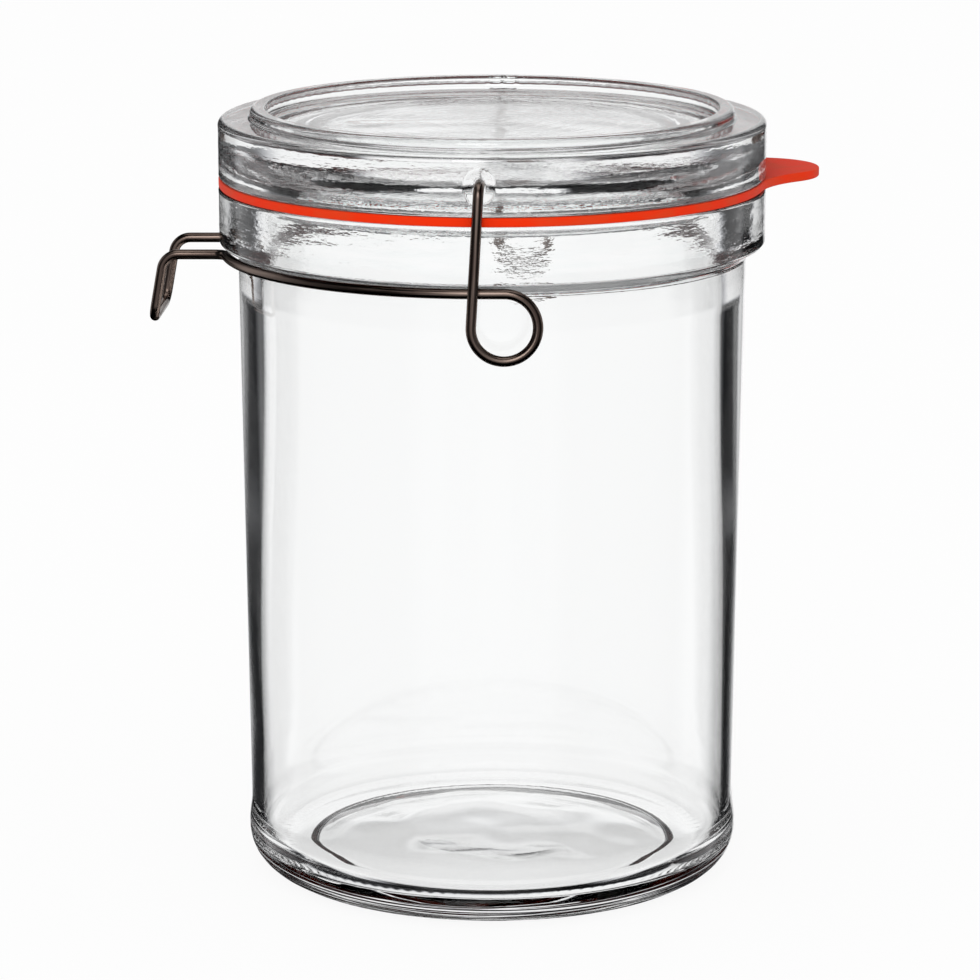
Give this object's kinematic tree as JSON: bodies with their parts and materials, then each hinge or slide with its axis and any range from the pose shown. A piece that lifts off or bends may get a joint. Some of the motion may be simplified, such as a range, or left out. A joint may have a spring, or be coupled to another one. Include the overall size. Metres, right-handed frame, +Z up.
{
  "type": "preserving jar",
  "caption": "Clear glass preserving jar with a straight body, a flat glass lid with a raised stacking ring, an orange rubber gasket with a pull tab and a sprung wire bail.",
  "frame": {"origin": "on the jar's axis, in the plane that the jar stands on", "axes": "+Z up along the jar's axis, -X towards the bail's lifting handle, Y through the bail's two sockets in the lid"},
  "size_m": [0.1381, 0.118, 0.1608],
  "materials": {
    "clear_glass": "clear pressed and blown glass, glossy, slightly wavy",
    "orange_rubber": "smooth satin rubber",
    "dark_wire": "drawn spring steel wire, smooth and dark"
  },
  "bodies": {
    "jar": {"glass_jar": "clear_glass", "rubber_gasket": "orange_rubber", "glass_lid": "clear_glass"},
    "bail": {"wire_bail": "dark_wire"}
  },
  "joints": [
    {"name": "bail_swing", "type": "hinge", "parent": "jar", "child": "bail", "pos_m": [0, 0, 0.1525], "axis": [0, 1, 0], "range_deg": [0, 200], "deforming": ["wire_bail"]}
  ]
}
